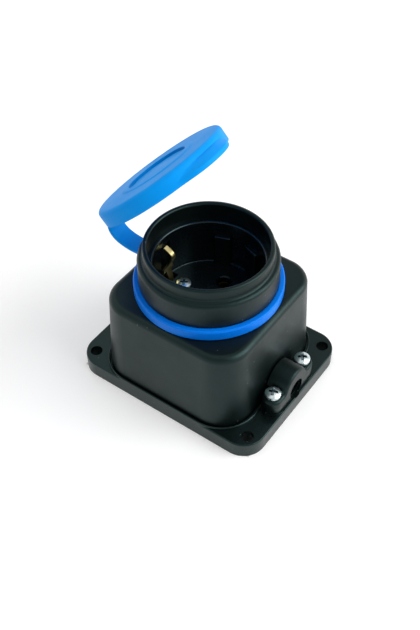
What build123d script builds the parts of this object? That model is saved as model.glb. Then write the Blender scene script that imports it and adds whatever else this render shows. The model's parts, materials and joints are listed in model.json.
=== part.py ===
"""Surface-mounted rubber mains socket with a flip lid and an outside cable clamp.

Millimetres, +Z up. The origin is the centre of the mounting face, under the four-hole flange.
+X points to the cable clamp, and the flip lid hangs on its strap at the -X side.
"""

import os
from math import cos, radians, sin

from build123d import *

os.makedirs("parts", exist_ok=True)

# Housing block: a drafted square box with a soft top edge
BODY_WIDTH = 61.2
BODY_CORNER = 13.0
BODY_DRAFT = 2.9
BODY_TOP = 41.6
BODY_TOP_EDGE = 2.6
WALL = 3.5
TOP_WALL = 4.0

# Base plate: flange, raised lip and tray
FLANGE_END = 9.4
FLANGE_SIDE = 1.1
FLANGE_CORNER = 8.8
FLANGE_HEIGHT = 6.4
FLANGE_EDGE = 0.5
LIP_MARGIN = 1.6
LIP_RISE = 0.8
LIP_EDGE = 0.3
HOLE_INSET_END = 5.0
HOLE_INSET_SIDE = 5.7
MOUNT_HOLE = 4.6
TRAY_FLOOR = 3.0
FOOT_HEIGHT = 5.0
SEAM = 0.5

# Collar that the plug enters, heights above the mounting face
COLLAR_HEIGHT = 14.4
COLLAR_EDGE = 1.5
SHOULDER_WIDTH = 2.1
SHOULDER_SLOPE = 0.5
NECK_FILLET = 1.0
RIM_WALL = 1.8
RIM_HEIGHT = 5.4
RIM_EDGE = 0.8
WELL_WALL = 2.6
LEDGE_WIDTH = 3.0
LEDGE_THICKNESS = 2.5
WELL_EDGE = 1.0

# Blue ring, strap and lid
RING_PROUD = 1.9
RING_HEIGHT = 4.4
RING_EDGE = 0.7
GROOVE_DEPTH = 0.6
GROOVE_EDGE = 0.3
STRAP_WIDTH = 7.6
STRAP_THICKNESS = 1.3
STRAP_CORNER = 0.4
STRAP_DROP = 0.5
STRAP_BOW = 14.5
STRAP_RISE = 7.7
RING_LUG = 2.0
LID_LUG = 1.0
LID_LUG_HEIGHT = 1.2
LID_CLEARANCE = 0.9
LID_HEIGHT = 5.9
LID_TOP_WALL = 1.9
LID_EDGE = 1.6
LID_SKIRT = 1.0
LID_SKIRT_ROOT = 1.5
LID_DISH_RADIUS = 11.5
LID_DISH_DEPTH = 0.6
LID_BEAD_RADIUS = 14.2
LID_BEAD_RISE = 0.4
LID_BEAD_EDGE = 0.3
TAB_REACH = 3.8
TAB_RADIUS = 14.3
TAB_THICKNESS = 1.6
TAB_FLARE = 2.2
TAB_SLOPE = 52.0
TAB_EDGE = 0.5
LID_TURN = 1.9
LID_OPEN = 42.9
HINGE_INSET = 3.5
HINGE_RISE = 3.75
LID_GAP = 0.3

# Socket insert: the plug recess and its floor
INSERT_DROP = 7.4
INSERT_WALL = 1.8
RECESS_FLARE = 0.3
RECESS_RADIUS = 19.4
RECESS_EDGE = 0.7
PLUG_DEPTH = 19.0
FLOOR_THICKNESS = 3.0
FLOOR_FILLET = 0.6
RIB_DEPTH = 1.0
RIB_WIDTH = 6.4
RIB_HEIGHT = 13.2
RIB_SPREAD = 20.0
RIB_EDGE = 0.7
RIB_TOP_EDGE = 0.5
PIN_SPACING = 19.0
PIN_HOLE = 5.6
PIN_MOUTH = 6.4
MOUTH_ANGLE = 90.0

# Earth bracket, bent from one brass strip
SHEET = 0.9
CLIP_WIDTH = 5.4
CLIP_HEAD = 2.2
CLIP_TAPER = 2.0
CLIP_FOOT_INSET = 1.8
CLIP_NECK_INSET = 0.5
CLIP_NECK_RISE = 5.0
CLIP_TOUCH_INSET = 4.2
CLIP_TOUCH_RISE = 7.2
CLIP_TIP_INSET = 0.0
CLIP_TIP_RISE = 2.2
CLIP_BEND = 1.4
CLIP_NOSE = 2.0
CLIP_EDGE = 0.35
CLIP_POCKET = 1.3
POCKET_RISE = 1.2
CLIP_SHOULDER = 0.75
LEG_WIDTH = 1.1
LEG_GAP = 0.3
LEG_INSET = -0.3
LEG_DROP = 3.6
SCREW_PAD = 3.4

# Pin contacts, terminals and the plate that holds them
COVER_THICKNESS = 2.5
CONTACT_RADIUS = 3.2
CONTACT_BORE = 2.45
CONTACT_FLANGE = 4.3
TERMINAL_GAP = 3.0
CONTACT_SLOT = 0.8
SLOT_ROOT = 4.9
SPRING_WALL = 0.7
SPRING_HEIGHT = 3.0
SPRING_DROP = 9.0
SPRING_GAP = 1.4
BLOCK_LENGTH = 9.0
BLOCK_WIDTH = 8.0
BLOCK_HEIGHT = 8.5
BLOCK_EDGE = 0.5
BLOCK_SEAT = 2.0
WIRE_BORE = 1.7
WIRE_ROOF = 1.0

# Cable clamp
CLAMP_OFFSET = 4.5
CLAMP_SPACING = 20.0
CLAMP_BOSS = 3.9
CLAMP_BOSS_FOOT = 4.4
BOSS_FOOT_RISE = 0.7
CLAMP_PARTING = 10.0
SADDLE_GAP = 0.1
CABLE_RADIUS = 4.0
SADDLE_EAR = 3.25
SADDLE_RADIUS = 7.2
SADDLE_RISE = 1.8
SADDLE_EDGE = 1.2
SADDLE_ROOT = 1.6
GRIP_RIDGE = 0.6
GRIP_WIDTH = 0.9
GRIP_SPACING = 2.4
GRIP_COUNT = 3
NOTCH_CLEARANCE = 0.4

# Fasteners
SCREW_RADIUS = 1.75
HEAD_RADIUS = 3.2
HEAD_HEIGHT = 2.5
HEAD_SIDE_SHARE = 0.6
RECESS_SPAN = 3.6
RECESS_WIDTH = 0.9
RECESS_DEPTH = 1.2
SCREW_INSET = 6.2
INSERT_HEAD_RADIUS = 2.7
INSERT_HEAD_HEIGHT = 1.5
PILLAR_RADIUS = 4.0
SLEEVE_RADIUS = 2.7
SLEEVE_LENGTH = 8.0
NUT_FLATS = 6.0
NUT_THICKNESS = 2.8
NUT_POCKET = 3.2
TERMINAL_SCREW_RADIUS = 1.5
TERMINAL_HEAD_RADIUS = 2.4
TERMINAL_HEAD_HEIGHT = 1.6

# Clearances
FIT = 0.1
HOLE_FIT = 0.2

# Sizes that follow from the values above
flange_length = BODY_WIDTH + 2 * FLANGE_END
flange_width = BODY_WIDTH + 2 * FLANGE_SIDE
lip_top = FLANGE_HEIGHT + LIP_RISE
tray_width = BODY_WIDTH - 2 * WALL
body_end = BODY_WIDTH / 2
well_radius = RECESS_RADIUS + INSERT_WALL + FIT
ledge_bore = well_radius - LEDGE_WIDTH
rim_radius = well_radius + RIM_WALL
collar_radius = rim_radius + SHOULDER_WIDTH
groove_radius = collar_radius - GROOVE_DEPTH
ring_radius = collar_radius + RING_PROUD
lid_radius = rim_radius + LID_CLEARANCE + LID_SKIRT
ring_top = BODY_TOP + RING_HEIGHT
shoulder_height = BODY_TOP + COLLAR_HEIGHT
rim_top = shoulder_height + RIM_HEIGHT
insert_top = rim_top - INSERT_DROP
floor_top = insert_top - PLUG_DEPTH
floor_bottom = floor_top - FLOOR_THICKNESS
cover_top = floor_bottom - SHEET
cover_bottom = cover_top - COVER_THICKNESS
foot_reach = RECESS_RADIUS - CLIP_FOOT_INSET
insert_screw_spacing = 2 * (foot_reach - SCREW_INSET)
neck_reach = RECESS_RADIUS - CLIP_NECK_INSET
touch_reach = RECESS_RADIUS - CLIP_TOUCH_INSET
tip_reach = RECESS_RADIUS - CLIP_TIP_INSET
leg_reach = RECESS_RADIUS - LEG_INSET
neck_height = floor_top + CLIP_NECK_RISE
touch_height = neck_height + CLIP_TOUCH_RISE
tip_height = touch_height + CLIP_TIP_RISE
wire_drop = BLOCK_SEAT + WIRE_ROOF + WIRE_BORE
block_top = TRAY_FLOOR + TERMINAL_GAP + TERMINAL_HEAD_HEIGHT + BLOCK_HEIGHT
contact_length = cover_top - block_top + BLOCK_SEAT
slot_length = SHEET + contact_length - SLOT_ROOT
clamp_x = body_end + CLAMP_OFFSET
ear_top = CLAMP_PARTING + SADDLE_EAR
strap_height = ring_top - STRAP_DROP - STRAP_THICKNESS / 2
strap_reach = ring_radius + STRAP_BOW
hinge_reach = strap_reach - HINGE_INSET
hinge_height = strap_height + HINGE_RISE
lid_closed = rim_top + LID_GAP + LID_TOP_WALL - LID_HEIGHT


def turned(reach: float, height: float) -> Vector:
    """Point in the upright plane of the lid, which is turned a little about the collar."""
    return Vector(reach * cos(radians(LID_TURN)), reach * sin(radians(LID_TURN)), height)


def swung(reach: float, height: float) -> tuple[float, float]:
    """Point of the closed lid after it swings open about the hinge line of the strap."""
    arm = reach + hinge_reach
    rise = height - hinge_height
    turn = radians(LID_OPEN)
    return (
        arm * cos(turn) - rise * sin(turn) - hinge_reach,
        arm * sin(turn) + rise * cos(turn) + hinge_height,
    )


def grip_runs(start: float, end: float) -> list[tuple[float, float]]:
    """Start and length of each plain stretch between the grip ridges of the cable hole."""
    middle = (GRIP_COUNT - 1) / 2
    ridges = [clamp_x + (index - middle) * GRIP_SPACING for index in range(GRIP_COUNT)]
    starts = [start] + [ridge + GRIP_WIDTH / 2 for ridge in ridges]
    ends = [ridge - GRIP_WIDTH / 2 for ridge in ridges] + [end]
    return [(low, high - low) for low, high in zip(starts, ends)]


def pan_head_screw(head_radius: float, head_height: float, shank: float, length: float) -> Part:
    """Cross-recess pan-head screw with the underside of its head at the origin."""
    side = HEAD_SIDE_SHARE * head_height
    with BuildPart() as screw:
        with BuildSketch(Plane.XZ):
            with BuildLine():
                Polyline((0, head_height), (0, -length), (shank, -length), (shank, 0), (head_radius, 0))
                Line((head_radius, 0), (head_radius, side))
                SagittaArc((head_radius, side), (0, head_height), (head_height - side) / 3)
            make_face()
        revolve(axis=Axis.Z)
        with BuildSketch(Plane.XY.offset(head_height)):
            Rectangle(RECESS_SPAN, RECESS_WIDTH)
            Rectangle(RECESS_WIDTH, RECESS_SPAN)
        extrude(amount=-RECESS_DEPTH, mode=Mode.SUBTRACT)
    return screw.part


def terminal_block(seat: float) -> Part:
    """Brass terminal with its upper face at the origin, and a contact seat of the given depth."""
    with BuildPart() as block:
        with BuildSketch():
            RectangleRounded(BLOCK_LENGTH, BLOCK_WIDTH, BLOCK_EDGE)
        extrude(amount=-BLOCK_HEIGHT)
        with BuildSketch(Plane.YZ):
            with Locations((0, -wire_drop)):
                Circle(WIRE_BORE)
        extrude(amount=BLOCK_LENGTH, both=True, mode=Mode.SUBTRACT)
        with BuildSketch(Plane.XY.offset(-BLOCK_HEIGHT)):
            Circle(TERMINAL_SCREW_RADIUS + FIT)
        extrude(amount=BLOCK_HEIGHT - wire_drop, mode=Mode.SUBTRACT)
        if seat:
            Hole(CONTACT_RADIUS + FIT, depth=seat)
    return block.part


def pin_contact() -> Part:
    """Slotted brass tulip with the upper face of its flange at the origin."""
    with BuildPart() as contact:
        with BuildSketch():
            Circle(CONTACT_FLANGE)
        extrude(amount=-SHEET)
        with BuildSketch(Plane.XY.offset(-SHEET)):
            Circle(CONTACT_RADIUS)
        extrude(amount=-contact_length)
        with BuildSketch():
            Circle(CONTACT_BORE)
        extrude(amount=-SHEET - contact_length, mode=Mode.SUBTRACT)
        with BuildSketch():
            Rectangle(3 * CONTACT_FLANGE, CONTACT_SLOT)
            Rectangle(CONTACT_SLOT, 3 * CONTACT_FLANGE)
        extrude(amount=-slot_length, mode=Mode.SUBTRACT)
    return contact.part


# Base plate with the flange, the lip round the housing, two pillars and the clamp's lower half
with BuildPart() as base:
    with BuildSketch():
        RectangleRounded(flange_length, flange_width, FLANGE_CORNER)
    extrude(amount=FLANGE_HEIGHT)
    fillet(base.faces().sort_by(Axis.Z)[-1].edges(), FLANGE_EDGE)
    with BuildSketch():
        RectangleRounded(BODY_WIDTH + 2 * LIP_MARGIN, flange_width, BODY_CORNER + LIP_MARGIN)
    extrude(amount=lip_top)
    fillet(base.faces().sort_by(Axis.Z)[-1].edges(), LIP_EDGE)
    with BuildSketch(Plane.XY.offset(TRAY_FLOOR)):
        with Locations((clamp_x, 0)):
            with GridLocations(0, CLAMP_SPACING, 1, 2):
                Circle(CLAMP_BOSS_FOOT)
    extrude(amount=FLANGE_HEIGHT + BOSS_FOOT_RISE - TRAY_FLOOR)
    with BuildSketch(Plane.XY.offset(TRAY_FLOOR)):
        with Locations((clamp_x, 0)):
            SlotCenterToCenter(CLAMP_SPACING, 2 * CLAMP_BOSS, rotation=90)
    extrude(amount=CLAMP_PARTING - TRAY_FLOOR)
    with BuildSketch(Plane.XY.offset(FOOT_HEIGHT)):
        RectangleRounded(BODY_WIDTH + 2 * SEAM, BODY_WIDTH + 2 * SEAM, BODY_CORNER + SEAM)
    extrude(amount=CLAMP_PARTING, mode=Mode.SUBTRACT)
    with BuildSketch(Plane.XY.offset(TRAY_FLOOR)):
        RectangleRounded(tray_width, tray_width, BODY_CORNER - WALL)
    extrude(amount=FOOT_HEIGHT, mode=Mode.SUBTRACT)
    with BuildSketch(Plane.XY.offset(TRAY_FLOOR)):
        with GridLocations(insert_screw_spacing, 0, 2, 1):
            Circle(PILLAR_RADIUS)
    extrude(amount=cover_bottom - TRAY_FLOOR)
    with Locations((0, 0, cover_bottom)):
        with GridLocations(insert_screw_spacing, 0, 2, 1):
            Hole(SLEEVE_RADIUS + FIT, depth=SLEEVE_LENGTH)
    with GridLocations(flange_length - 2 * HOLE_INSET_END, flange_width - 2 * HOLE_INSET_SIDE, 2, 2):
        Hole(MOUNT_HOLE / 2)
    with Locations((clamp_x, 0)):
        with GridLocations(0, CLAMP_SPACING, 1, 2):
            Hole(SCREW_RADIUS + HOLE_FIT)
    with BuildSketch():
        with Locations((clamp_x, 0)):
            with GridLocations(0, CLAMP_SPACING, 1, 2):
                RegularPolygon(NUT_FLATS / 2 + FIT, 6, major_radius=False)
    extrude(amount=NUT_POCKET, mode=Mode.SUBTRACT)
    with BuildSketch(Plane.YZ.offset(body_end)):
        with Locations((0, CLAMP_PARTING)):
            Circle(CABLE_RADIUS - GRIP_RIDGE)
    extrude(amount=FLANGE_END, mode=Mode.SUBTRACT)
    for run_start, run_length in grip_runs(body_end, body_end + FLANGE_END):
        with BuildSketch(Plane.YZ.offset(run_start)):
            with Locations((0, CLAMP_PARTING)):
                Circle(CABLE_RADIUS)
        extrude(amount=run_length, mode=Mode.SUBTRACT)
base.part.label = "base"
export_step(base.part, "parts/base.step")

# Moulded rubber housing: drafted box, collar, and the well that the insert drops into
with BuildPart() as housing:
    collar_edges = [0, WELL_EDGE, 0, 0, 0, GROOVE_EDGE, COLLAR_EDGE, NECK_FILLET, RIM_EDGE, RIM_EDGE, 0, 0]
    with BuildSketch(Plane.XY.offset(FOOT_HEIGHT)):
        RectangleRounded(BODY_WIDTH, BODY_WIDTH, BODY_CORNER)
    extrude(amount=BODY_TOP - FOOT_HEIGHT, taper=BODY_DRAFT)
    fillet(housing.faces().sort_by(Axis.Z)[-1].edges(), BODY_TOP_EDGE)
    with BuildSketch(Plane.XY.offset(FOOT_HEIGHT)):
        RectangleRounded(tray_width, tray_width, BODY_CORNER - WALL)
    extrude(amount=BODY_TOP - TOP_WALL - FOOT_HEIGHT, taper=BODY_DRAFT, mode=Mode.SUBTRACT)
    with Locations((0, 0, BODY_TOP)):
        Hole(well_radius, depth=2 * TOP_WALL)
    with BuildSketch(Plane.XZ):
        with BuildLine():
            FilletPolyline(
                (ledge_bore, floor_bottom - LEDGE_THICKNESS),
                (well_radius + WELL_WALL, floor_bottom - LEDGE_THICKNESS),
                (well_radius + WELL_WALL, BODY_TOP - TOP_WALL / 2),
                (groove_radius, BODY_TOP - TOP_WALL / 2),
                (groove_radius, ring_top),
                (collar_radius, ring_top),
                (collar_radius, shoulder_height),
                (rim_radius, shoulder_height + SHOULDER_SLOPE),
                (rim_radius, rim_top),
                (well_radius, rim_top),
                (well_radius, floor_bottom),
                (ledge_bore, floor_bottom),
                radius=collar_edges,
                close=True,
            )
        make_face()
    revolve(axis=Axis.Z)
    with BuildSketch(Plane.YZ.offset(tray_width / 2 - WALL)):
        with Locations((0, CLAMP_PARTING)):
            Circle(CABLE_RADIUS + NOTCH_CLEARANCE)
        with Locations((0, FOOT_HEIGHT)):
            Rectangle(
                2 * (CABLE_RADIUS + NOTCH_CLEARANCE),
                CLAMP_PARTING - FOOT_HEIGHT,
                align=(Align.CENTER, Align.MIN),
            )
    extrude(amount=3 * WALL, mode=Mode.SUBTRACT)
housing.part.label = "housing"
export_step(housing.part, "parts/housing.step")

# Socket insert: round plug recess with guide ribs, pin holes, clip slots and screw holes
with BuildPart() as socket_insert:
    with BuildSketch(Plane.XZ):
        with BuildLine():
            FilletPolyline(
                (0, floor_bottom),
                (well_radius - FIT, floor_bottom),
                (well_radius - FIT, insert_top),
                (RECESS_RADIUS + RECESS_FLARE, insert_top),
                (RECESS_RADIUS, floor_top),
                (0, floor_top),
                radius=[0, 0, 0, RECESS_EDGE, FLOOR_FILLET, 0],
                close=True,
            )
        make_face()
    revolve(axis=Axis.Z)
    with BuildSketch(Plane.XY.offset(floor_top)):
        for side in (90 - RIB_SPREAD, 90 + RIB_SPREAD):
            with PolarLocations(RECESS_RADIUS - RIB_DEPTH / 2, 2, start_angle=side):
                RectangleRounded(2 * RIB_DEPTH, RIB_WIDTH, RIB_EDGE)
    extrude(amount=RIB_HEIGHT)
    rib_top = floor_top + RIB_HEIGHT
    rib_faces = socket_insert.faces().filter_by_position(Axis.Z, rib_top, rib_top)
    for rib_face in rib_faces:
        fillet(rib_face.edges().sort_by_distance((0, 0, rib_top))[:3], RIB_TOP_EDGE)
    with Locations((0, 0, floor_top)):
        with GridLocations(0, PIN_SPACING, 1, 2):
            CounterSinkHole(PIN_HOLE / 2, PIN_MOUTH / 2, counter_sink_angle=MOUTH_ANGLE)
        with GridLocations(insert_screw_spacing, 0, 2, 1):
            Hole(SCREW_RADIUS + HOLE_FIT, depth=FLOOR_THICKNESS)
    with BuildSketch(Plane.XY.offset(floor_top)):
        with GridLocations(2 * foot_reach, 0, 2, 1):
            Rectangle(SHEET + 4 * HOLE_FIT + CLIP_BEND, CLIP_WIDTH + 2 * HOLE_FIT)
    extrude(amount=-FLOOR_THICKNESS, mode=Mode.SUBTRACT)
    with BuildSketch(Plane.XY.offset(floor_top)):
        with GridLocations(2 * RECESS_RADIUS, 0, 2, 1):
            Rectangle(2 * CLIP_POCKET, CLIP_WIDTH + 2 * HOLE_FIT)
    extrude(amount=tip_height + POCKET_RISE - floor_top, mode=Mode.SUBTRACT)
socket_insert.part.label = "socket_insert"
export_step(socket_insert.part, "parts/socket_insert.step")

# Upper part of an earth clip: shoulders that narrow to a curled strip with round edges
strip_height = floor_bottom - SHEET / 2
clip_line = [(neck_reach, neck_height), (touch_reach, touch_height), (tip_reach, tip_height)]
clip_bends = [2 * CLIP_BEND, CLIP_NOSE]
clip_shoulder = (
    foot_reach + (neck_reach - foot_reach) * CLIP_SHOULDER,
    floor_top + CLIP_NECK_RISE * CLIP_SHOULDER,
)
with BuildPart() as clip_head:
    with BuildSketch(Plane.XZ):
        with BuildLine():
            FilletPolyline(clip_shoulder, *clip_line, radius=clip_bends)
        trace(line_width=SHEET)
    extrude(amount=CLIP_WIDTH / 2, both=True)
    with BuildSketch(Plane.YZ):
        with BuildLine():
            Polyline(
                (0, floor_top),
                (CLIP_WIDTH / 2, floor_top),
                (CLIP_WIDTH / 2, neck_height),
                (CLIP_HEAD / 2, neck_height + CLIP_TAPER),
                (0, neck_height + CLIP_TAPER),
                close=True,
            )
        make_face()
        mirror(about=Plane.YZ)
    extrude(amount=2 * RECESS_RADIUS, mode=Mode.INTERSECT)
    with BuildLine(Plane.XZ) as clip_curl:
        FilletPolyline(clip_shoulder, *clip_line, radius=clip_bends)
    curl_start = Vector(clip_shoulder[0], 0, clip_shoulder[1])
    curl_heading = Vector(neck_reach - foot_reach, 0, CLIP_NECK_RISE)
    with BuildSketch(Plane(origin=curl_start, x_dir=(0, 1, 0), z_dir=curl_heading)):
        RectangleRounded(CLIP_HEAD, SHEET, CLIP_EDGE)
    sweep(path=clip_curl.wires()[0])

# Earth bracket: one brass strip under the floor, with a three-legged sprung clip at each end
with BuildPart() as earth_bracket:
    with BuildSketch(Plane.XZ):
        with BuildLine():
            FilletPolyline(
                (foot_reach - CLIP_BEND - SHEET, strip_height),
                (foot_reach, strip_height),
                (foot_reach, floor_top),
                (neck_reach, neck_height),
                radius=[CLIP_BEND, CLIP_BEND],
            )
        trace(line_width=SHEET)
    extrude(amount=CLIP_WIDTH / 2 - LEG_WIDTH - LEG_GAP, both=True)
    add(clip_head.part)
    for side in (-1, 1):
        with BuildSketch(Plane.XZ.offset(side * (CLIP_WIDTH - LEG_WIDTH) / 2)):
            with BuildLine():
                Line((neck_reach, neck_height - SHEET), (leg_reach, neck_height - LEG_DROP))
            trace(line_width=SHEET)
        extrude(amount=LEG_WIDTH / 2, both=True)
    mirror(about=Plane.YZ)
    with BuildSketch(Plane.XY.offset(cover_top)):
        Rectangle(2 * (foot_reach - CLIP_BEND - SHEET), CLIP_WIDTH)
        with GridLocations(insert_screw_spacing, 0, 2, 1):
            Circle(SCREW_PAD)
            Circle(SCREW_RADIUS + HOLE_FIT, mode=Mode.SUBTRACT)
    extrude(amount=SHEET)
earth_bracket.part.label = "earth_bracket"
export_step(earth_bracket.part, "parts/earth_bracket.step")

# Plate under the insert that traps the contact flanges and the earth strip
with BuildPart() as contact_cover:
    with BuildSketch(Plane.XY.offset(cover_bottom)):
        Circle(ledge_bore - 2 * HOLE_FIT)
        RectangleRounded(
            BLOCK_LENGTH + 2 * HOLE_FIT, BLOCK_WIDTH + 2 * HOLE_FIT, BLOCK_EDGE, mode=Mode.SUBTRACT
        )
        with GridLocations(0, PIN_SPACING, 1, 2):
            Circle(CONTACT_RADIUS + HOLE_FIT, mode=Mode.SUBTRACT)
        with GridLocations(insert_screw_spacing, 0, 2, 1):
            Circle(SCREW_RADIUS + HOLE_FIT, mode=Mode.SUBTRACT)
    extrude(amount=COVER_THICKNESS)
contact_cover.part.label = "contact_cover"
export_step(contact_cover.part, "parts/contact_cover.step")

# Pin contacts and the terminals on their lower ends
tulip = pin_contact()
seated_block = terminal_block(BLOCK_SEAT)
for name, side in (("line", 1), ("neutral", -1)):
    pin_y = side * PIN_SPACING / 2
    with BuildPart() as contact:
        with Locations((0, pin_y, floor_bottom)):
            add(tulip)
    contact.part.label = name + "_contact"
    export_step(contact.part, "parts/" + name + "_contact.step")
    with BuildPart() as terminal:
        with Locations((0, pin_y, block_top)):
            add(seated_block)
    terminal.part.label = name + "_terminal"
    export_step(terminal.part, "parts/" + name + "_terminal.step")

# Earth terminal under the middle of the earth strip
with BuildPart() as earth_terminal:
    with Locations((0, 0, cover_top)):
        add(terminal_block(0))
earth_terminal.part.label = "earth_terminal"
export_step(earth_terminal.part, "parts/earth_terminal.step")

# Split spring ring round each pin contact
with BuildPart() as contact_springs:
    with BuildSketch(Plane.XY.offset(cover_top - SPRING_DROP)):
        with GridLocations(0, PIN_SPACING, 1, 2):
            Circle(CONTACT_RADIUS + FIT + SPRING_WALL)
            Circle(CONTACT_RADIUS + FIT, mode=Mode.SUBTRACT)
            with Locations((CONTACT_RADIUS + SPRING_WALL / 2, 0)):
                Rectangle(2 * SPRING_WALL, SPRING_GAP, mode=Mode.SUBTRACT)
    extrude(amount=-SPRING_HEIGHT)
contact_springs.part.label = "contact_springs"
export_step(contact_springs.part, "parts/contact_springs.step")

# Terminal screws, driven from below
terminal_screw = pan_head_screw(
    TERMINAL_HEAD_RADIUS,
    TERMINAL_HEAD_HEIGHT,
    TERMINAL_SCREW_RADIUS,
    BLOCK_HEIGHT - wire_drop - WIRE_BORE,
)
with BuildPart() as terminal_screws:
    with Locations(
        Location((0, PIN_SPACING / 2, block_top - BLOCK_HEIGHT), (180, 0, 0)),
        Location((0, -PIN_SPACING / 2, block_top - BLOCK_HEIGHT), (180, 0, 0)),
        Location((0, 0, cover_top - BLOCK_HEIGHT), (180, 0, 0)),
    ):
        add(terminal_screw)
terminal_screws.part.label = "terminal_screws"
export_step(terminal_screws.part, "parts/terminal_screws.step")

# Two screws through the recess floor that hold insert, bracket and plate down on the pillars
insert_screw = pan_head_screw(
    INSERT_HEAD_RADIUS,
    INSERT_HEAD_HEIGHT,
    SCREW_RADIUS,
    floor_top - cover_bottom + SLEEVE_LENGTH - HOLE_FIT,
)
with BuildPart() as insert_screws:
    with Locations((0, 0, floor_top)):
        with GridLocations(insert_screw_spacing, 0, 2, 1):
            add(insert_screw)
insert_screws.part.label = "insert_screws"
export_step(insert_screws.part, "parts/insert_screws.step")

# Threaded brass sleeves in the pillars
with BuildPart() as pillar_sleeves:
    with BuildSketch(Plane.XY.offset(cover_bottom)):
        with GridLocations(insert_screw_spacing, 0, 2, 1):
            Circle(SLEEVE_RADIUS)
            Circle(SCREW_RADIUS + FIT, mode=Mode.SUBTRACT)
    extrude(amount=-SLEEVE_LENGTH)
pillar_sleeves.part.label = "pillar_sleeves"
export_step(pillar_sleeves.part, "parts/pillar_sleeves.step")

# Clamp saddle: rounded ears that run up into an arch over the cable, with grip ridges inside
with BuildPart() as clamp_saddle:
    with BuildSketch(Plane.YZ.offset(body_end + SADDLE_GAP)):
        with Locations((0, CLAMP_PARTING + SADDLE_RISE)):
            Circle(SADDLE_RADIUS)
        with Locations((0, CLAMP_PARTING)):
            Rectangle(CLAMP_SPACING + 2 * CLAMP_BOSS, SADDLE_EAR, align=(Align.CENTER, Align.MIN))
            Rectangle(
                CLAMP_SPACING, SADDLE_RADIUS, align=(Align.CENTER, Align.MAX), mode=Mode.SUBTRACT
            )
    extrude(amount=CLAMP_OFFSET + CLAMP_BOSS - SADDLE_GAP)
    long_edges = clamp_saddle.edges().filter_by(Axis.X)
    arch_roots = long_edges.filter_by_position(Axis.Z, ear_top - FIT, ear_top + FIT)
    fillet(arch_roots.sort_by(Axis.Y)[1:-1], SADDLE_ROOT)
    with BuildSketch(Plane.XY.offset(CLAMP_PARTING)):
        with Locations((clamp_x, 0)):
            SlotCenterToCenter(CLAMP_SPACING, 2 * CLAMP_BOSS, rotation=90)
        with Locations((body_end + SADDLE_GAP, 0)):
            Rectangle(CLAMP_OFFSET, 2 * SADDLE_RADIUS, align=(Align.MIN, Align.CENTER))
    extrude(amount=SADDLE_RISE + SADDLE_RADIUS, mode=Mode.INTERSECT)
    top_edges = clamp_saddle.edges().filter_by_position(Axis.Z, ear_top - FIT, ear_top + 2 * SADDLE_RADIUS)
    end_edges = top_edges.filter_by_position(Axis.X, clamp_x + CLAMP_BOSS - FIT, clamp_x + CLAMP_BOSS)
    ear_edges = top_edges.filter_by(GeomType.CIRCLE).group_by(Axis.Z)[0]
    fillet(end_edges + ear_edges, SADDLE_EDGE)
    with Locations((clamp_x, 0, ear_top)):
        with GridLocations(0, CLAMP_SPACING, 1, 2):
            Hole(SCREW_RADIUS + HOLE_FIT, depth=SADDLE_EAR)
    with BuildSketch(Plane.XY.offset(ear_top)):
        with Locations((clamp_x, 0)):
            with GridLocations(0, CLAMP_SPACING, 1, 2):
                Circle(HEAD_RADIUS + HOLE_FIT)
    extrude(amount=SADDLE_RADIUS, mode=Mode.SUBTRACT)
    with BuildSketch(Plane.YZ.offset(body_end)):
        with Locations((0, CLAMP_PARTING)):
            Circle(CABLE_RADIUS - GRIP_RIDGE)
    extrude(amount=FLANGE_END, mode=Mode.SUBTRACT)
    for run_start, run_length in grip_runs(body_end, body_end + FLANGE_END):
        with BuildSketch(Plane.YZ.offset(run_start)):
            with Locations((0, CLAMP_PARTING)):
                Circle(CABLE_RADIUS)
        extrude(amount=run_length, mode=Mode.SUBTRACT)
clamp_saddle.part.label = "clamp_saddle"
export_step(clamp_saddle.part, "parts/clamp_saddle.step")

# Clamp screws and the captive nuts under the flange
clamp_screw = pan_head_screw(HEAD_RADIUS, HEAD_HEIGHT, SCREW_RADIUS, ear_top - NUT_POCKET + NUT_THICKNESS)
with BuildPart() as clamp_screws:
    with Locations((clamp_x, 0, ear_top)):
        with GridLocations(0, CLAMP_SPACING, 1, 2):
            add(clamp_screw)
clamp_screws.part.label = "clamp_screws"
export_step(clamp_screws.part, "parts/clamp_screws.step")

with BuildPart() as clamp_nuts:
    with BuildSketch(Plane.XY.offset(NUT_POCKET)):
        with Locations((clamp_x, 0)):
            with GridLocations(0, CLAMP_SPACING, 1, 2):
                RegularPolygon(NUT_FLATS / 2, 6, major_radius=False)
                Circle(SCREW_RADIUS + FIT, mode=Mode.SUBTRACT)
    extrude(amount=-NUT_THICKNESS)
clamp_nuts.part.label = "clamp_nuts"
export_step(clamp_nuts.part, "parts/clamp_nuts.step")

# Directions of the lid as it stands open, and the planes that it is drawn on
across = Vector(-sin(radians(LID_TURN)), cos(radians(LID_TURN)), 0)
outwards = turned(-1, 0)
lid_along = turned(cos(radians(LID_OPEN)), sin(radians(LID_OPEN)))
lid_up = turned(-sin(radians(LID_OPEN)), cos(radians(LID_OPEN)))
lid_centre = turned(*swung(0, lid_closed))
lid_plane = Plane(origin=lid_centre, x_dir=lid_along, z_dir=lid_up)
lid_section = Plane(origin=lid_centre, x_dir=lid_along, z_dir=across * -1)
strap_plane = Plane(origin=(0, 0, 0), x_dir=turned(1, 0), z_dir=across * -1)
ring_lug_end = (-ring_radius - RING_LUG, strap_height)
lid_lug_end = swung(-lid_radius - LID_LUG, lid_closed + LID_LUG_HEIGHT)

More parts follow.
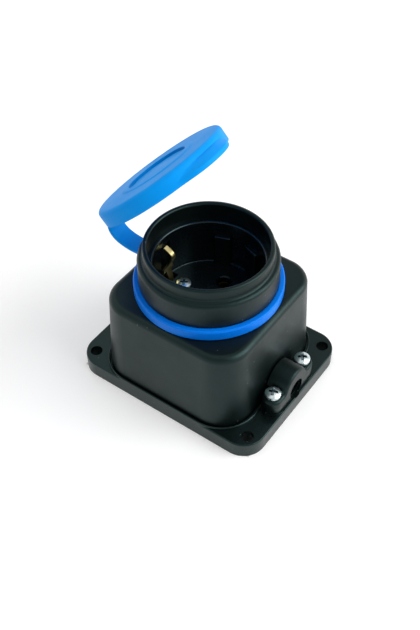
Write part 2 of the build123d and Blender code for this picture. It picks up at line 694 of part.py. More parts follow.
# Ring that holds the lid on the collar
with BuildPart() as lid_ring:
    with BuildSketch(Plane.XZ):
        with Locations(((groove_radius + FIT + ring_radius) / 2, BODY_TOP)):
            RectangleRounded(
                ring_radius - groove_radius - FIT,
                RING_HEIGHT - FIT,
                RING_EDGE,
                align=(Align.CENTER, Align.MIN),
            )
    revolve(axis=Axis.Z)
    with BuildSketch(Plane(origin=turned(*ring_lug_end), x_dir=across, z_dir=outwards)):
        RectangleRounded(STRAP_WIDTH, STRAP_THICKNESS, STRAP_CORNER)
    extrude(amount=-RING_LUG - RING_EDGE)
lid_ring.part.label = "lid_ring"
export_step(lid_ring.part, "parts/lid_ring.step")

# Strap that bends as the lid swings
with BuildPart() as lid_strap:
    with BuildLine(strap_plane) as strap_line:
        Spline(
            [ring_lug_end, (-strap_reach, strap_height + STRAP_RISE), lid_lug_end],
            tangents=[(-1, 0), (0, 1), (cos(radians(LID_OPEN)), sin(radians(LID_OPEN)))],
        )
    with BuildSketch(Plane(origin=turned(*ring_lug_end), x_dir=across, z_dir=outwards)):
        RectangleRounded(STRAP_WIDTH, STRAP_THICKNESS, STRAP_CORNER)
    sweep(path=strap_line.wires()[0])
lid_strap.part.label = "lid_strap"
export_step(lid_strap.part, "parts/lid_strap.step")

# Flip lid, shown standing open: dished top with a bead, skirt, thumb tab and strap lug
with BuildPart() as lid:
    with BuildSketch(lid_plane):
        Circle(lid_radius)
    extrude(amount=LID_HEIGHT)
    fillet(lid.faces().sort_by(Axis(lid_centre, lid_up))[-1].edges(), LID_EDGE)
    with BuildSketch(lid_plane):
        with Locations((lid_radius + TAB_REACH - TAB_RADIUS, 0)):
            Circle(TAB_RADIUS)
    extrude(amount=TAB_THICKNESS)
    with BuildSketch(lid_plane.offset(TAB_THICKNESS)):
        with Locations((lid_radius + TAB_REACH - TAB_RADIUS, 0)):
            Circle(TAB_RADIUS)
    extrude(amount=TAB_FLARE, taper=TAB_SLOPE)
    tab_edges = lid.edges().filter_by(GeomType.CIRCLE).filter_by(lambda edge: edge.radius == TAB_RADIUS)
    fillet(tab_edges, TAB_EDGE)
    with BuildSketch(lid_section):
        with BuildLine():
            Polyline(
                (0, 0),
                (lid_radius - LID_SKIRT, 0),
                (lid_radius - LID_SKIRT_ROOT, LID_HEIGHT - LID_TOP_WALL),
                (0, LID_HEIGHT - LID_TOP_WALL),
                close=True,
            )
        make_face()
    revolve(axis=Axis(lid_centre, lid_up), mode=Mode.SUBTRACT)
    with BuildSketch(lid_plane.offset(LID_HEIGHT)):
        Circle(LID_BEAD_RADIUS)
        Circle(LID_DISH_RADIUS, mode=Mode.SUBTRACT)
    extrude(amount=LID_BEAD_RISE)
    bead_edges = lid.edges().filter_by(GeomType.CIRCLE).sort_by(Axis(lid_centre, lid_up))
    fillet(bead_edges.filter_by(lambda edge: edge.radius == LID_BEAD_RADIUS)[-1], LID_BEAD_EDGE)
    with BuildSketch(lid_plane.offset(LID_HEIGHT)):
        Circle(LID_DISH_RADIUS)
    extrude(amount=-LID_DISH_DEPTH, mode=Mode.SUBTRACT)
    with BuildSketch(Plane(origin=turned(*lid_lug_end), x_dir=across, z_dir=lid_along)):
        RectangleRounded(STRAP_WIDTH, STRAP_THICKNESS, STRAP_CORNER)
    extrude(amount=LID_LUG + LID_SKIRT / 2)
lid.part.label = "lid"
export_step(lid.part, "parts/lid.step")
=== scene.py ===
"""Looks of a surface-mounted rubber mains socket with a blue flip lid. Metres, in the part's frame."""

import json
import logging
import math
from dataclasses import dataclass, replace
from enum import Enum
from typing import Any

import bpy
from mathutils import Matrix, Vector

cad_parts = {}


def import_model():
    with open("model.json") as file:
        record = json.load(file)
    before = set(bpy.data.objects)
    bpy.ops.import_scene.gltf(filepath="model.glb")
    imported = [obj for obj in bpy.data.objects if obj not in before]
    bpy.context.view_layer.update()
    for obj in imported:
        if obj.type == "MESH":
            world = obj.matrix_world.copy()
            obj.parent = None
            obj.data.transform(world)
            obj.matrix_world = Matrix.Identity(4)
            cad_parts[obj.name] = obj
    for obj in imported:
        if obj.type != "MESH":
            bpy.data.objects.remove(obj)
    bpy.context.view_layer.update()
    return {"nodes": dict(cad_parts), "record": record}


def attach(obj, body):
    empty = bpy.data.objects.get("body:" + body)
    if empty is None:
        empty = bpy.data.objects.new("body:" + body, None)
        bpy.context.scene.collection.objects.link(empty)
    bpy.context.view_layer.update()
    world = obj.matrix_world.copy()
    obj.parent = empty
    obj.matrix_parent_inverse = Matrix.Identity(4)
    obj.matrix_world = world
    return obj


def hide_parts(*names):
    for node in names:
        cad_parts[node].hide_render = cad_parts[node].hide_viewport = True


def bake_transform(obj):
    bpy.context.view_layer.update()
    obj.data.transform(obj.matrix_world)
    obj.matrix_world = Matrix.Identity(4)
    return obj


frame: dict[str, Any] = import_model()

log = logging.getLogger("socket")
MM = 0.001
# Most values of a noise texture lie between these two
NOISE_LOW = 0.3
NOISE_HIGH = 0.7
# Degrees that the strap is turned round the collar, and that the lid stands open
LID_TURN = 1.9
LID_OPEN = 42.9


class Body(Enum):
    """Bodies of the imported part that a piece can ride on."""

    SOCKET = "socket"
    LID = "lid"


class Slot(Enum):
    """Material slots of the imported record."""

    BLACK_RUBBER = "black_rubber"
    BLACK_PLASTIC = "black_plastic"
    BLUE_RUBBER = "blue_rubber"
    BRASS = "brass"
    SPRING_STEEL = "spring_steel"
    ZINC_STEEL = "zinc_steel"


def linear(code: str) -> tuple[float, float, float, float]:
    """Turn an sRGB hex colour into linear RGBA.

    Args:
        code: Six hex digits after a hash sign.

    Returns:
        Linear red, green and blue, with an alpha of 1.
    """
    channels = [int(code[i : i + 2], 16) / 255 for i in (1, 3, 5)]
    return (*[c / 12.92 if c <= 0.04045 else ((c + 0.055) / 1.055) ** 2.4 for c in channels], 1.0)


def per_mm(size: float) -> float:
    """Texture scale that makes a pattern's features about this many millimetres wide."""
    return 1 / (size * MM)


def add_node(
    tree: bpy.types.NodeTree, kind: str, inputs: dict[str | int, Any] | None = None, **settings: Any
) -> bpy.types.Node:
    """Add a node with its settings, values and links.

    Args:
        tree: Shader or geometry tree that the node goes into.
        kind: Blender's name of the node type.
        inputs: Socket name or index to a value, or to the output socket that feeds it.
        **settings: Properties of the node itself.

    Returns:
        The new node.
    """
    node = tree.nodes.new(kind)
    for name, value in settings.items():
        setattr(node, name, value)
    for key, value in (inputs or {}).items():
        if isinstance(value, bpy.types.NodeSocket):
            tree.links.new(value, node.inputs[key])
        else:
            node.inputs[key].default_value = value
    return node


@dataclass(frozen=True)
class Finish:
    """A surface that is named for its real material. Sizes are in millimetres."""

    name: str
    colour: str
    roughness: float
    ior: float = 1.5
    metallic: float = 0.0
    gloss_tint: str = "#FFFFFF"
    gloss_drift: float = 0.06

    def make(self) -> bpy.types.Material:
        """Build the material with its procedural pattern.

        Returns:
            The finished material.
        """
        material = bpy.data.materials.new(self.name)
        material.use_nodes = True
        tree = material.node_tree
        tree.nodes.clear()
        place = add_node(tree, "ShaderNodeTexCoord").outputs["Object"]
        shader = add_node(
            tree,
            "ShaderNodeBsdfPrincipled",
            {"Metallic": self.metallic, "IOR": self.ior, "Specular Tint": linear(self.gloss_tint)},
        )
        self.pattern(tree, place, shader)
        add_node(tree, "ShaderNodeOutputMaterial", {"Surface": shader.outputs[0]})
        return material

    def pattern(
        self, tree: bpy.types.NodeTree, place: bpy.types.NodeSocket, shader: bpy.types.Node
    ) -> None:
        """Feed the shader's colour, roughness and normal.

        Args:
            tree: The material's node tree.
            place: Object coordinates.
            shader: The shader to feed.
        """
        raise NotImplementedError


@dataclass(frozen=True)
class MouldedRubber(Finish):
    """Filled rubber or elastomer from a spark-eroded mould: matte, softly clouded and finely grained."""

    pale: str = "#FFFFFF"
    cloud: float = 14.0
    # An eroded grain is about 0.05 mm wide in truth, and is drawn coarser so that it shows
    grain: float = 0.45
    grain_depth: float = 0.02
    # Specks of dust: spacing, core and edge as shares of it, and how much of the colour a speck hides.
    # The dust is the share of places that have a speck.
    fleck: float = 0.0
    fleck_core: float = 0.05
    fleck_edge: float = 0.09
    fleck_cover: float = 0.6
    dust: float = 0.29
    dust_colour: str = "#9A9C9A"

    def pattern(
        self, tree: bpy.types.NodeTree, place: bpy.types.NodeSocket, shader: bpy.types.Node
    ) -> None:
        """Feed the shader a cloudy colour and gloss, a fine grain, and dust where the finish has it.

        Args:
            tree: The material's node tree.
            place: Object coordinates.
            shader: The shader to feed.
        """
        cloud = add_node(
            tree,
            "ShaderNodeTexNoise",
            {"Vector": place, "Scale": per_mm(self.cloud), "Detail": 5.0, "Roughness": 0.62},
        )
        colour = add_node(
            tree,
            "ShaderNodeMix",
            {0: cloud.outputs["Fac"], 6: linear(self.colour), 7: linear(self.pale)},
            data_type="RGBA",
        ).outputs[2]
        if self.fleck:
            colour = self.dusted(tree, place, colour)
        tree.links.new(colour, shader.inputs["Base Color"])
        gloss = add_node(
            tree,
            "ShaderNodeMapRange",
            {
                "Value": cloud.outputs["Fac"],
                "From Min": NOISE_LOW,
                "From Max": NOISE_HIGH,
                "To Min": self.roughness + self.gloss_drift,
                "To Max": self.roughness - self.gloss_drift,
            },
        )
        tree.links.new(gloss.outputs[0], shader.inputs["Roughness"])
        grain = add_node(
            tree,
            "ShaderNodeTexNoise",
            {"Vector": place, "Scale": per_mm(self.grain), "Detail": 2.0, "Roughness": 0.5},
        )
        bump = add_node(
            tree,
            "ShaderNodeBump",
            {"Height": grain.outputs["Fac"], "Distance": self.grain_depth * MM, "Strength": 0.6},
        )
        tree.links.new(bump.outputs[0], shader.inputs["Normal"])

    def dusted(
        self, tree: bpy.types.NodeTree, place: bpy.types.NodeSocket, colour: bpy.types.NodeSocket
    ) -> bpy.types.NodeSocket:
        """Scatter pale specks of dust over a colour.

        Args:
            tree: The material's node tree.
            place: Object coordinates.
            colour: The colour under the dust.

        Returns:
            The colour with its dust.
        """
        cell = add_node(tree, "ShaderNodeTexVoronoi", {"Vector": place, "Scale": per_mm(self.fleck)})
        speck = add_node(
            tree,
            "ShaderNodeMapRange",
            {
                "Value": cell.outputs["Distance"],
                "From Min": self.fleck_core,
                "From Max": self.fleck_edge,
                "To Min": self.fleck_cover,
                "To Max": 0.0,
            },
        )
        chosen = add_node(
            tree, "ShaderNodeMath", {0: cell.outputs["Color"], 1: self.dust}, operation="LESS_THAN"
        )
        cover = add_node(
            tree, "ShaderNodeMath", {0: speck.outputs[0], 1: chosen.outputs[0]}, operation="MULTIPLY"
        )
        return add_node(
            tree,
            "ShaderNodeMix",
            {0: cover.outputs[0], 6: colour, 7: linear(self.dust_colour)},
            data_type="RGBA",
        ).outputs[2]


@dataclass(frozen=True)
class WorkedMetal(Finish):
    """Plated or rolled metal: fine streaks, a slightly uneven gloss, and painted shade in its hollows."""

    tarnish: str = "#FFFFFF"
    # Marks of rolling and plating are about 0.05 mm wide in truth, and are drawn coarser so that they show
    streak: float = 0.25
    streak_depth: float = 0.004
    stretch: float = 8.0
    stain: float = 3.0
    # Painted shade is full where a hollow is this closed in, and gone where the surface lies this open
    hollow_shade: str = "#283C42"
    shade_reach: float = 1.3
    shade_full: float = 0.45
    shade_gone: float = 0.9

    def pattern(
        self, tree: bpy.types.NodeTree, place: bpy.types.NodeSocket, shader: bpy.types.Node
    ) -> None:
        """Feed the shader drawn-out streaks in gloss and height, over a slow change of colour.

        Args:
            tree: The material's node tree.
            place: Object coordinates.
            shader: The shader to feed.
        """
        drawn = add_node(
            tree, "ShaderNodeMapping", {"Vector": place, "Scale": (1.0, 1.0, 1.0 / self.stretch)}
        )
        streak = add_node(
            tree,
            "ShaderNodeTexNoise",
            {"Vector": drawn.outputs[0], "Scale": per_mm(self.streak), "Detail": 3.0},
        )
        stain = add_node(
            tree, "ShaderNodeTexNoise", {"Vector": place, "Scale": per_mm(self.stain), "Detail": 4.0}
        )
        colour = add_node(
            tree,
            "ShaderNodeMix",
            {0: stain.outputs["Fac"], 6: linear(self.colour), 7: linear(self.tarnish)},
            data_type="RGBA",
        )
        # Painted shade: ambient occlusion darkens the colour towards the shade colour in closed-in hollows,
        # such as a screw's cross recess
        hollow = add_node(
            tree,
            "ShaderNodeAmbientOcclusion",
            {"Distance": self.shade_reach * MM},
            samples=8,
            only_local=True,
        )
        unshaded = add_node(
            tree,
            "ShaderNodeMapRange",
            {"Value": hollow.outputs["AO"], "From Min": self.shade_full, "From Max": self.shade_gone},
        )
        shaded = add_node(
            tree,
            "ShaderNodeMix",
            {0: unshaded.outputs[0], 6: linear(self.hollow_shade), 7: colour.outputs[2]},
            data_type="RGBA",
        )
        tree.links.new(shaded.outputs[2], shader.inputs["Base Color"])
        gloss = add_node(
            tree,
            "ShaderNodeMapRange",
            {
                "Value": streak.outputs["Fac"],
                "From Min": NOISE_LOW,
                "From Max": NOISE_HIGH,
                "To Min": self.roughness - self.gloss_drift,
                "To Max": self.roughness + self.gloss_drift,
            },
        )
        tree.links.new(gloss.outputs[0], shader.inputs["Roughness"])
        bump = add_node(
            tree,
            "ShaderNodeBump",
            {"Height": streak.outputs["Fac"], "Distance": self.streak_depth * MM, "Strength": 0.3},
        )
        tree.links.new(bump.outputs[0], shader.inputs["Normal"])


# Carbon-filled rubber: nearly black and matte, with a green-blue cast in its soft gloss
BLACK_RUBBER = MouldedRubber(
    "black_moulded_rubber", "#030607", 0.38, ior=1.41, gloss_tint="#BEF4F0", pale="#080D0E", fleck=2.4
)
# The same rubber in the base, shinier from its own mould and dustier where it lies flat
BASE_RUBBER = replace(
    BLACK_RUBBER, name="black_base_rubber", roughness=0.3, ior=1.47, fleck=1.8, dust=0.42
)
# The base's rolled edges, polished by handling
ROLLED_RUBBER = replace(BASE_RUBBER, name="black_rubbed_edge", roughness=0.22, fleck=0.0)
# Thermoset insert: blacker than the housing and a little shinier
INSERT_PLASTIC = MouldedRubber(
    "black_thermoset",
    "#04080A",
    0.25,
    gloss_tint="#D2FBFF",
    pale="#080D10",
    cloud=9.0,
    grain=0.3,
    grain_depth=0.01,
)
# Coloured elastomer of the lid: saturated azure with a satin skin
LID_RUBBER = MouldedRubber(
    "blue_moulded_elastomer",
    "#0090F0",
    0.56,
    ior=1.4,
    gloss_tint="#84D8FF",
    pale="#00A2FC",
    cloud=18.0,
    grain=0.5,
    grain_depth=0.012,
)
# The wall of the lid's dish: the same elastomer, painted deeper as shade, and duller
DISH_RUBBER = replace(
    LID_RUBBER, name="blue_elastomer_painted_shade", colour="#007AC6", pale="#0086CE", ior=1.3
)
# The same elastomer where it is stretched over black rubber, which shows through and deepens it
RING_RUBBER = replace(
    LID_RUBBER, name="blue_elastomer_over_black", colour="#0070E6", pale="#0080F2", roughness=0.38
)
# Rolled brass strip, bright where it was punched and a little browner where it was handled
BRASS = WorkedMetal("rolled_brass", "#DCCF9C", 0.36, metallic=1.0, tarnish="#BBA968", hollow_shade="#5A4A22")
# Drawn contact tubes: rough, and painted darker as the shade deep in the pin holes
CONTACT_BRASS = WorkedMetal(
    "dull_brass_painted_shade", "#6E6038", 0.5, metallic=1.0, tarnish="#4E4428", hollow_shade="#2A2414"
)
# Bright zinc plating with a cool cast, mottled the same in every direction
ZINC = WorkedMetal(
    "bright_zinc_plate",
    "#F6FDFE",
    0.34,
    metallic=1.0,
    tarnish="#A4BEC6",
    stretch=1.0,
    streak=0.8,
    stain=1.2,
    hollow_shade="#46626C",
)
# Blued spring steel of the contact rings
SPRING_STEEL = WorkedMetal("blued_spring_steel", "#6C7076", 0.35, metallic=1.0, tarnish="#4A4F5A")

SLOT_FINISHES = {
    Slot.BLACK_RUBBER: BLACK_RUBBER,
    Slot.BLACK_PLASTIC: INSERT_PLASTIC,
    Slot.BLUE_RUBBER: LID_RUBBER,
    Slot.BRASS: BRASS,
    Slot.SPRING_STEEL: SPRING_STEEL,
    Slot.ZINC_STEEL: ZINC,
}
# Nodes that look different from the rest of their slot
NODE_FINISHES = {
    "base": BASE_RUBBER,
    "lid_ring": RING_RUBBER,
    "line_contact": CONTACT_BRASS,
    "neutral_contact": CONTACT_BRASS,
}


class FinishStore:
    """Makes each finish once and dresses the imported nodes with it."""

    def __init__(self) -> None:
        """Start with nothing made."""
        self.made: dict[str, bpy.types.Material] = {}

    def material(self, finish: Finish) -> bpy.types.Material:
        """Find a finish's material, which is made at its first use.

        Args:
            finish: The finish that is wanted.

        Returns:
            Its material.
        """
        if finish.name not in self.made:
            self.made[finish.name] = finish.make()
        return self.made[finish.name]

    def dress(self, obj: bpy.types.Object, finish: Finish) -> None:
        """Put one finish on every face of an object."""
        obj.data.materials.clear()
        obj.data.materials.append(self.material(finish))

    def dress_nodes(self) -> None:
        """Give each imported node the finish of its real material."""
        for part in frame["record"]["subparts"]:
            slot = Slot(part["material_slot"])
            finish = NODE_FINISHES.get(part["node"], SLOT_FINISHES[slot])
            self.dress(frame["nodes"][part["node"]], finish)
            log.info("dressed %s in %s", part["node"], finish.name)


class NodeRecipe:
    """A Geometry Nodes tree with named inputs, run once on a base object and turned into a plain mesh."""

    def __init__(self, name: str) -> None:
        """Start a tree that has a geometry input and a geometry output.

        Args:
            name: Name of the tree.
        """
        self.tree = bpy.data.node_groups.new(name, "GeometryNodeTree")
        self.tree.interface.new_socket("Geometry", in_out="INPUT", socket_type="NodeSocketGeometry")
        self.tree.interface.new_socket("Geometry", in_out="OUTPUT", socket_type="NodeSocketGeometry")
        self.entry = self.tree.nodes.new("NodeGroupInput")
        self.values: dict[str, float] = {}

    def size(self, name: str, value: float) -> bpy.types.NodeSocket:
        """Add a named number to the tree's inputs.

        Args:
            name: Name of the input.
            value: Number that the modifier gets.

        Returns:
            The socket inside the tree that carries the number.
        """
        entry = self.tree.interface.new_socket(name, in_out="INPUT", socket_type="NodeSocketFloat")
        self.values[entry.identifier] = value
        return self.entry.outputs[name]

    def add(
        self, kind: str, inputs: dict[str | int, Any] | None = None, **settings: Any
    ) -> bpy.types.NodeSocket:
        """Add a node to the tree and return its first output."""
        return add_node(self.tree, kind, inputs, **settings).outputs[0]

    def join(
        self, kind: str, name: str, parts: list[bpy.types.NodeSocket], **settings: Any
    ) -> bpy.types.NodeSocket:
        """Add a node that takes several meshes in one socket.

        Args:
            kind: Blender's name of the node type.
            name: The socket that takes them all.
            parts: Outputs to link to it.
            **settings: Properties of the node itself.

        Returns:
            The node's first output.
        """
        node = add_node(self.tree, kind, None, **settings)
        for part in parts:
            self.tree.links.new(part, node.inputs[name])
        return node.outputs[0]

    def close(self, result: bpy.types.NodeSocket, material: bpy.types.Material) -> None:
        """Realize the instances, set the material and link the tree's output.

        Args:
            result: What the tree has made.
            material: Material of the whole piece.
        """
        whole = self.add("GeometryNodeRealizeInstances", {"Geometry": result})
        dressed = self.add("GeometryNodeSetMaterial", {"Geometry": whole, "Material": material})
        add_node(self.tree, "NodeGroupOutput", {"Geometry": dressed})

    def bake(self, name: str, data: bpy.types.ID, crease: float) -> bpy.types.Object:
        """Run the tree on a base mesh or curve.

        Args:
            name: Name of the finished piece.
            data: Mesh or curve that goes into the tree.
            crease: Angle in degrees above which an edge stays sharp.

        Returns:
            The finished piece, a plain mesh object at the origin.
        """
        base = bpy.data.objects.new(name + "_base", data)
        bpy.context.scene.collection.objects.link(base)
        modifier = base.modifiers.new("recipe", "NODES")
        modifier.node_group = self.tree
        for identifier, value in self.values.items():
            modifier[identifier] = value
        graph = bpy.context.evaluated_depsgraph_get()
        mesh = bpy.data.meshes.new_from_object(base.evaluated_get(graph), depsgraph=graph)
        base.modifiers.remove(modifier)
        bpy.data.objects.remove(base)
        mesh.name = name
        mesh.shade_smooth()
        mesh.set_sharp_from_angle(angle=math.radians(crease))
        piece = bpy.data.objects.new(name, mesh)
        bpy.context.scene.collection.objects.link(piece)
        return piece


@dataclass
class LidStrap:
    """Rubber strap between the ring and the lid. Millimetres in the upright plane of the strap."""

    width: float = 7.6
    thickness: float = 1.3
    corner: float = 0.4
    turn: float = LID_TURN
    lid_open: float = LID_OPEN
    ring_end: tuple[float, float] = (-29.1, 44.85)
    outermost: tuple[float, float] = (-41.6, 52.55)
    lid_end: tuple[float, float] = (-36.25, 64.38)
    ring_handle: float = 6.1
    bow_handles: tuple[float, float] = (6.1, 5.4)
    lid_handle: float = 5.4
    lid_root: float = 1.5
    stations: int = 48
    corner_steps: int = 5
    crease: float = 40.0

    def path(self) -> bpy.types.Curve:
        """Draw the line that the strap follows.

        Returns:
            A curve in its local XY plane, in millimetres.
        """
        tilt = math.radians(self.lid_open)
        along = Vector((math.cos(tilt), math.sin(tilt), 0.0))
        outward = Vector((-1, 0, 0))
        upward = Vector((0, 1, 0))
        lid_end = Vector((*self.lid_end, 0.0))
        # A third of a run's length is the handle that keeps it straight
        third = self.lid_root / 3
        knots = (
            (Vector((*self.ring_end, 0.0)), outward, self.ring_handle, self.ring_handle),
            (Vector((*self.outermost, 0.0)), upward, *self.bow_handles),
            (lid_end, along, self.lid_handle, third),
            (lid_end + self.lid_root * along, along, third, third),
        )
        curve = bpy.data.curves.new("strap_line", "CURVE")
        curve.dimensions = "3D"
        spline = curve.splines.new("BEZIER")
        spline.bezier_points.add(len(knots) - 1)
        for point, (place, heading, before, after) in zip(spline.bezier_points, knots):
            point.handle_left_type = "FREE"
            point.handle_right_type = "FREE"
            point.co = place
            point.handle_left = place - before * heading
            point.handle_right = place + after * heading
        return curve

    def build(self, store: FinishStore) -> None:
        """Sweep the strap along its line and blend it across the hinge.

        Args:
            store: Where the finish comes from.
        """
        recipe = NodeRecipe("strap_sweep")
        width = recipe.size("Width", self.width)
        thickness = recipe.size("Thickness", self.thickness)
        corner = recipe.size("Corner", self.corner)
        turn = recipe.size("Turn", math.radians(self.turn))
        line = recipe.add(
            "GeometryNodeResampleCurve", {"Curve": recipe.entry.outputs[0], "Count": self.stations}
        )
        upright = recipe.add("GeometryNodeSetCurveNormal", {"Curve": line}, mode="Z_UP")
        section = recipe.add(
            "GeometryNodeCurvePrimitiveQuadrilateral", {"Width": thickness, "Height": width}
        )
        soft = recipe.add(
            "GeometryNodeFilletCurve",
            {"Curve": section, "Count": self.corner_steps, "Radius": corner},
            mode="POLY",
        )
        swept = recipe.add(
            "GeometryNodeCurveToMesh", {"Curve": upright, "Profile Curve": soft, "Fill Caps": True}
        )
        around = recipe.add("ShaderNodeCombineXYZ", {"X": math.pi / 2, "Z": turn})
        placed = recipe.add(
            "GeometryNodeTransform", {"Geometry": swept, "Rotation": around, "Scale": (MM, MM, MM)}
        )
        recipe.close(placed, store.material(LID_RUBBER))
        strap = recipe.bake("lid_strap_band", self.path(), self.crease)
        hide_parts("lid_strap")
        self.place(*self.ring_end)
        self.place(*self.lid_end)
        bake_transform(strap)
        log.info("strap of %d faces", len(strap.data.polygons))

    def place(self, reach: float, height: float) -> tuple[float, float, float]:
        """Point of the strap's plane in metres."""
        turn = math.radians(self.turn)
        return (reach * math.cos(turn) * MM, reach * math.sin(turn) * MM, height * MM)


@dataclass
class LipBeads:
    """Rolled edge on the base's lip, full at its four corners and fading along the sides. Millimetres."""

    span: tuple[float, float] = (64.4, 63.4)
    corner: float = 14.6
    top: float = 7.2
    bead: float = 0.36
    inset: float = 0.4
    sink: float = 0.08
    # How thin a bead gets at its ends, and how quickly it fills out from there
    tip: float = 0.04
    fullness: float = 0.5
    steps: int = 24
    sides: int = 12
    crease: float = 40.0

    def path(self) -> bpy.types.Curve:
        """Draw the four corners of the lip.

        Returns:
            A curve of one open arc for each corner, in millimetres.
        """
        curve = bpy.data.curves.new("lip_line", "CURVE")
        curve.dimensions = "3D"
        across, along = (width / 2 - self.corner for width in self.span)
        radius = self.corner - self.inset
        turns = [math.radians(90 * step / self.steps) for step in range(self.steps + 1)]
        for side, end in ((1, 1), (-1, 1), (-1, -1), (1, -1)):
            spline = curve.splines.new("POLY")
            spline.points.add(len(turns) - 1)
            for point, turn in zip(spline.points, turns):
                reach = across + radius * math.cos(turn)
                depth = along + radius * math.sin(turn)
                point.co = (side * reach, end * depth, self.top - self.sink, 1.0)
        return curve

    def build(self, store: FinishStore) -> None:
        """Sweep a thin bead along each corner, fading at both ends.

        Args:
            store: Where the finish comes from.
        """
        recipe = NodeRecipe("lip_bead_sweep")
        bead = recipe.size("Bead Radius", self.bead)
        along = recipe.add("GeometryNodeSplineParameter")
        half_turn = recipe.add("ShaderNodeMath", {0: along, 1: math.pi}, operation="MULTIPLY")
        swell = recipe.add("ShaderNodeMath", {0: half_turn}, operation="SINE")
        fade = recipe.add("ShaderNodeMath", {0: swell, 1: self.tip}, operation="MAXIMUM")
        soft = recipe.add("ShaderNodeMath", {0: fade, 1: self.fullness}, operation="POWER")
        section = recipe.add(
            "GeometryNodeCurvePrimitiveCircle", {"Resolution": self.sides, "Radius": bead}
        )
        swept = recipe.add(
            "GeometryNodeCurveToMesh",
            {"Curve": recipe.entry.outputs[0], "Profile Curve": section, "Scale": soft, "Fill Caps": True},
        )
        placed = recipe.add("GeometryNodeTransform", {"Geometry": swept, "Scale": (MM, MM, MM)})
        recipe.close(placed, store.material(ROLLED_RUBBER))
        beads = recipe.bake("lip_corner_beads", self.path(), self.crease)
        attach(beads, Body.SOCKET.value)
        log.info("lip beads of %d faces", len(beads.data.polygons))


